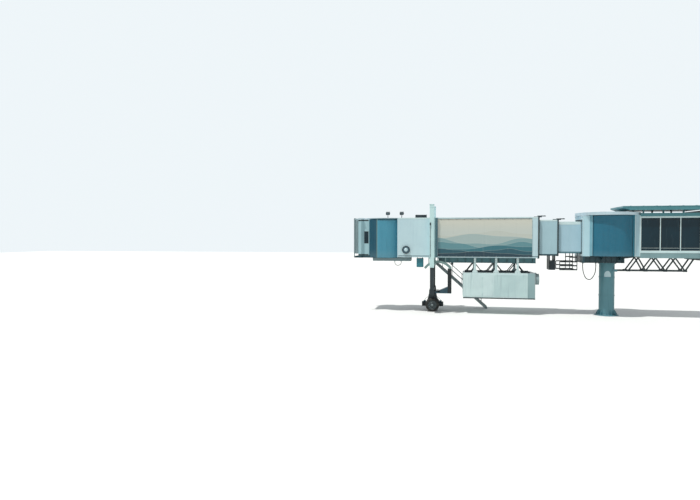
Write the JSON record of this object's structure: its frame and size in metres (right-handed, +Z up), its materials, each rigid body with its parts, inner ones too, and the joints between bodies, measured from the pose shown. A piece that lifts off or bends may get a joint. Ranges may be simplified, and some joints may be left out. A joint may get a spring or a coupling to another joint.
{
  "type": "jet bridge",
  "caption": "Apron-drive jet bridge with a glazed fixed corridor, rotunda on a column, telescoping tunnels, wheeled lift, swinging cab with canopy, service stair and hung air unit.",
  "frame": {"origin": "centre of the underside of the rotunda column's base flange, at ground level", "axes": "+Z up, +X along the tunnels towards the cab, +Y towards the side that the picture shows"},
  "size_m": [25.505, 5.0298, 8.54],
  "materials": {
    "column_paint": "satin teal-grey paint",
    "girder_paint": "satin dark teal paint",
    "panel_paint": "satin pale blue-grey coated panels",
    "roof_paint": "satin light grey coated sheet",
    "frame_paint": "satin dark frame paint",
    "white_paint": "gloss white paint",
    "rotunda_slats": "satin teal slats",
    "cab_slats": "satin blue-grey slats",
    "dark_glass": "dark tinted glass",
    "deck_steel": "worn floor steel",
    "truss_paint": "satin dark teal paint",
    "board_print": "printed sheet with an abstract design",
    "dark_steel": "dark machine paint",
    "black_plastic": "matt black",
    "grating": "galvanized steel",
    "tyre": "solid rubber on painted rims",
    "rubber": "matt rubber",
    "bellows": "coated canopy cloth",
    "lamp_paint": "light grey lamp housings",
    "machine_paint": "satin blue-grey machine paint",
    "cable_sheath": "black cable sheath"
  },
  "bodies": {
    "root": {"column_base": "column_paint", "column": "column_paint", "rotunda_floor": "deck_steel", "rotunda_roof": "roof_paint", "portal": "panel_paint", "rotunda_curtains": "rotunda_slats", "corridor_floor": "panel_paint", "corridor_roof": "frame_paint", "corridor_frames": "white_paint", "corridor_glass": "dark_glass", "corridor_truss": "truss_paint", "corridor_flange": "frame_paint"},
    "swing": {"turntable": "girder_paint", "turntable_floor": "deck_steel", "vestibule_walls": "panel_paint", "vestibule_front": "panel_paint", "vestibule_roof": "roof_paint", "rotunda_cable": "cable_sheath"},
    "tunnel_a": {"a_floor": "deck_steel", "a_walls": "panel_paint", "a_roof": "roof_paint", "cable_rack": "dark_steel"},
    "tunnel_b": {"b_floor": "deck_steel", "b_walls": "panel_paint", "b_roof": "roof_paint", "b_end_frame": "frame_paint", "b_cable_box": "dark_steel"},
    "tunnel_c": {"c_floor": "deck_steel", "c_wall_near": "panel_paint", "c_wall_far": "panel_paint", "c_roof": "roof_paint", "c_end_frame": "frame_paint", "c_bulkhead": "panel_paint", "art_board": "board_print", "service_door": "panel_paint", "landing": "grating", "lift_columns": "white_paint", "underframe": "girder_paint", "air_unit_hangers": "white_paint", "air_unit": "white_paint", "cab_deck": "girder_paint", "cab_curtains": "cab_slats", "cable_guide": "black_plastic", "lamps": "lamp_paint", "wall_reel": "machine_paint", "cab_cable": "cable_sheath"},
    "lift": {"lift_rams": "dark_steel", "power_pack": "machine_paint"},
    "bogie": {"bogie_frame": "dark_steel"},
    "near_wheel": {"wheel_near": "tyre"},
    "far_wheel": {"wheel_far": "tyre"},
    "cab": {"cab_floor": "deck_steel", "cab_walls": "white_paint", "cab_roof": "roof_paint", "cab_window": "dark_glass", "cab_bumper": "rubber", "canopy_bellows": "bellows"},
    "canopy": {"canopy_bow": "frame_paint"},
    "stair": {"stair_flight": "grating", "stair_rails": "grating"}
  },
  "joints": [
    {"name": "rotunda_swing", "type": "hinge", "parent": "root", "child": "swing", "pos_m": [0, 0, 4.5], "axis": [0, 0, 1], "range_deg": [-87.5, 87.5], "deforming": ["rotunda_curtains"]},
    {"name": "tunnel_slope", "type": "hinge", "parent": "swing", "child": "tunnel_a", "pos_m": [1.8, 0, 4.81], "axis": [0, -1, 0], "range_deg": [-5, 5]},
    {"name": "tunnel_b_slide", "type": "slide", "parent": "tunnel_a", "child": "tunnel_b", "axis": [1, 0, 0], "range_m": [-0.8, 6.4]},
    {"name": "tunnel_c_slide", "type": "slide", "parent": "tunnel_b", "child": "tunnel_c", "axis": [1, 0, 0], "range_m": [-0.8, 6.4]},
    {"name": "lift_slide", "type": "slide", "parent": "tunnel_c", "child": "lift", "axis": [0, 0, -1], "range_m": [-1, 1]},
    {"name": "bogie_steer", "type": "hinge", "parent": "lift", "child": "bogie", "pos_m": [13.2, 0, 1.4], "axis": [0, 0, 1], "range_deg": [-90, 90]},
    {"name": "near_wheel_spin", "type": "hinge", "parent": "bogie", "child": "near_wheel", "pos_m": [13.2, 0.56, 0.55], "axis": [0, 1, 0], "continuous": true},
    {"name": "far_wheel_spin", "type": "hinge", "parent": "bogie", "child": "far_wheel", "pos_m": [13.2, -0.56, 0.55], "axis": [0, 1, 0], "continuous": true},
    {"name": "cab_swing", "type": "hinge", "parent": "tunnel_c", "child": "cab", "pos_m": [17.1, 0, 4.35], "axis": [0, 0, 1], "range_deg": [-32.5, 92.5], "deforming": ["cab_curtains"]},
    {"name": "canopy_fold", "type": "hinge", "parent": "cab", "child": "canopy", "pos_m": [19.43, 0, 4.41], "axis": [0, 1, 0], "range_deg": [0, 15], "deforming": ["canopy_bellows"]},
    {"name": "stair_pivot", "type": "hinge", "parent": "tunnel_c", "child": "stair", "pos_m": [13.66, -2.29, 4.38], "axis": [0, -1, 0], "range_deg": [-7.5, 7.5]}
  ],
  "couplings": [
    {"joint": "tunnel_c_slide", "follows": "tunnel_b_slide", "ratio": 1},
    {"joint": "lift_slide", "follows": "tunnel_slope", "m_per_rad": 11.4},
    {"joint": "stair_pivot", "follows": "tunnel_slope", "ratio": 1.458}
  ]
}
